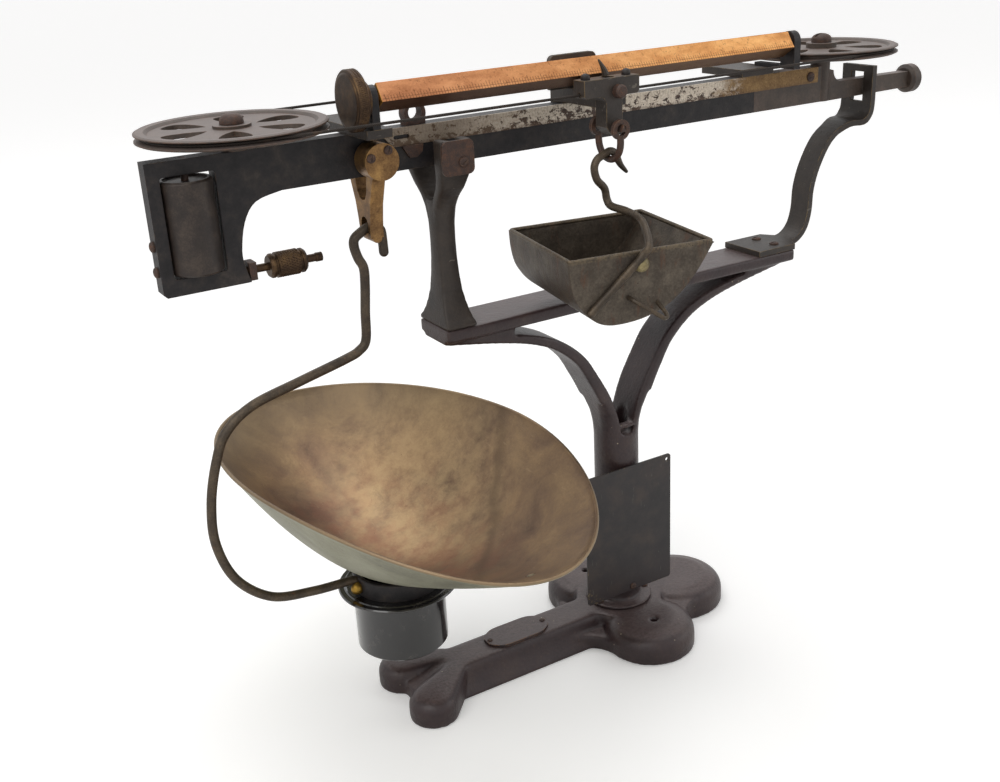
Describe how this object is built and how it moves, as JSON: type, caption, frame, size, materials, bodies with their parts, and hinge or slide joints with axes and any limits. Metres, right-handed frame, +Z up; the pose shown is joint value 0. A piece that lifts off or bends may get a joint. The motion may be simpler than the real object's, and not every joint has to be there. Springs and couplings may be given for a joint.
{
  "type": "weighing scale",
  "caption": "Antique counter beam scale: a deep oval pan hangs in a bow at one end, and a cord-driven sliding poise with a small loading bucket and a turning reading prism sit on the beam.",
  "frame": {"origin": "on the floor under the column's axis, midway between the two hold-down holes in the base", "axes": "+X along the beam from the pan's end towards the guard loop, +Y from the poise side to the back, +Z up"},
  "size_m": [0.6376, 0.3382, 0.4666],
  "materials": {
    "maroon_enamel": "worn dark maroon enamel over cast iron",
    "green_black_iron": "rubbed green-black iron",
    "black_iron": "dull black cast iron",
    "brown_iron": "brown-grey worn iron",
    "rusty_steel": "rusty brown steel",
    "knife_steel": "ground hard steel",
    "nickel": "corroded nickel plate over brass",
    "copper_brass": "bright copper-coloured brass, graduated",
    "old_brass": "tarnished brass",
    "pan_brass": "patinated sheet brass",
    "grey_sheet": "grey-brown tinned sheet",
    "wire_brown": "brown steel rod",
    "gloss_black": "glossy black enamel",
    "card_enamel": "dark blue-green-black enamelled sheet",
    "cord": "dark waxed cord"
  },
  "bodies": {
    "stand": {"base_casting": "maroon_enamel", "base_cover": "green_black_iron", "cover_screws": "rusty_steel", "fork_casting": "maroon_enamel", "foot_screw": "rusty_steel", "bearing_pillar": "green_black_iron", "bearing_plates": "rusty_steel", "bearing_screws": "rusty_steel", "guard_loop": "green_black_iron", "loop_screws": "rusty_steel", "card": "card_enamel", "card_screw": "rusty_steel"},
    "beam": {"beam_casting": "black_iron", "beam_tail": "black_iron", "tail_knob": "brown_iron", "fulcrum_knife": "knife_steel", "load_knife": "knife_steel", "graduated_strip": "nickel", "strip_screws": "rusty_steel", "strip_lug": "rusty_steel", "drum_weight": "brown_iron", "drum_spindle": "rusty_steel", "edge_screws": "rusty_steel", "cross_plates": "green_black_iron", "prism_post": "black_iron", "prism_bracket": "black_iron", "travel_stop": "rusty_steel", "balance_block": "rusty_steel", "balance_rod": "old_brass", "left_axle": "brown_iron", "left_axle_nut": "rusty_steel", "right_axle_screw": "rusty_steel", "cord_loop": "cord"},
    "balance_nut": {"balance_nut": "old_brass"},
    "left_pulley": {"left_pulley": "brown_iron"},
    "right_pulley": {"right_pulley": "brown_iron"},
    "prism": {"reading_prism": "copper_brass", "prism_knob": "old_brass"},
    "poise": {"poise_block": "green_black_iron", "poise_screws": "rusty_steel", "poise_boss": "rusty_steel", "poise_knife": "rusty_steel", "pointer": "green_black_iron", "cross_block": "green_black_iron", "back_plate": "green_black_iron"},
    "stirrup": {"stirrup": "rusty_steel"},
    "bucket": {"hanger_wire": "wire_brown", "solder_joint": "old_brass", "bucket": "grey_sheet", "bucket_handle": "wire_brown"},
    "shackle": {"shackle": "old_brass", "shackle_discs": "old_brass", "shackle_screws": "rusty_steel"},
    "bow": {"bow": "wire_brown", "bow_solder": "old_brass", "pan_ring": "black_iron", "pan_cup": "gloss_black"},
    "pan": {"pan": "pan_brass"}
  },
  "joints": [
    {"name": "beam_tilt", "type": "hinge", "parent": "stand", "child": "beam", "pos_m": [-0.1395, 0, 0.408], "axis": [0, 1, 0], "range_deg": [-0.6, 0.6]},
    {"name": "left_pulley_turn", "type": "hinge", "parent": "beam", "child": "left_pulley", "pos_m": [-0.2731, 0, 0.4369], "axis": [0, 0, 1], "range_deg": [-30, 120]},
    {"name": "right_pulley_turn", "type": "hinge", "parent": "beam", "child": "right_pulley", "pos_m": [0.2003, 0, 0.4369], "axis": [0, 0, 1], "range_deg": [-30, 120]},
    {"name": "prism_turn", "type": "hinge", "parent": "beam", "child": "prism", "pos_m": [-0.0283, -0.0283, 0.4482], "axis": [1, 0, 0], "continuous": true},
    {"name": "poise_slide", "type": "slide", "parent": "beam", "child": "poise", "axis": [1, 0, 0], "range_m": [-0.026, 0.11]},
    {"name": "balance_nut_slide", "type": "slide", "parent": "beam", "child": "balance_nut", "axis": [1, 0, 0], "range_m": [-0.007, 0.007]},
    {"name": "stirrup_swing", "type": "hinge", "parent": "poise", "child": "stirrup", "pos_m": [-0.04, -0.053, 0.41745], "axis": [0, 1, 0], "range_deg": [-6, 6]},
    {"name": "bucket_swing", "type": "hinge", "parent": "stirrup", "child": "bucket", "pos_m": [-0.04, -0.053, 0.3934], "axis": [0, 1, 0], "range_deg": [-8, 8]},
    {"name": "shackle_swing", "type": "hinge", "parent": "beam", "child": "shackle", "pos_m": [-0.1903, 0, 0.412], "axis": [0, 1, 0], "range_deg": [-6, 6]},
    {"name": "bow_swing", "type": "hinge", "parent": "shackle", "child": "bow", "pos_m": [-0.1903, 0, 0.3582], "axis": [0, 1, 0], "range_deg": [-6, 6]},
    {"name": "pan_lift", "type": "slide", "parent": "bow", "child": "pan", "axis": [0, 0, 1], "range_m": [0, 0.04]}
  ],
  "couplings": [
    {"joint": "left_pulley_turn", "follows": "poise_slide", "rad_per_m": 18.868},
    {"joint": "right_pulley_turn", "follows": "poise_slide", "rad_per_m": 18.868}
  ]
}
